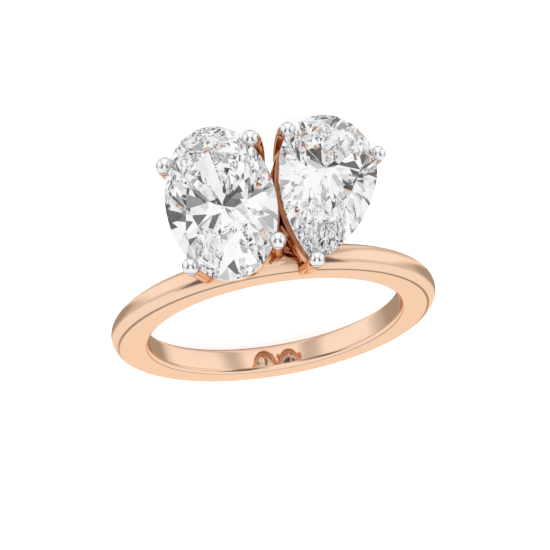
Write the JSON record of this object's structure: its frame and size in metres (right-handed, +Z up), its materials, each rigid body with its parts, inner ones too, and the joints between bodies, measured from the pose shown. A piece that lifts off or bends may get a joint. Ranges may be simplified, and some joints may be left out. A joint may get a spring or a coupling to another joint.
{
  "type": "toi et moi ring",
  "caption": "Rose gold finger ring whose claw settings hold an oval and a pear brilliant side by side on a plain shank, lying on its side.",
  "frame": {"origin": "on the floor, below the middle of the whole ring's box", "axes": "+Z up from the floor, -Y towards the head with the stones, +X from the pear stone to the oval stone"},
  "size_m": [0.0222, 0.0272, 0.0109],
  "materials": {
    "rose_gold": "polished",
    "white_gold": "polished",
    "diamond": "clear, cut in flat facets"
  },
  "bodies": {
    "root": {"shank_and_settings": "rose_gold", "oval_stone": "diamond", "pear_stone": "diamond", "oval_tip_1": "white_gold", "oval_tip_2": "white_gold", "oval_tip_3": "white_gold", "oval_tip_4": "white_gold", "pear_tip_1": "white_gold", "pear_tip_2": "white_gold", "pear_tip_3": "white_gold"}
  },
  "joints": []
}
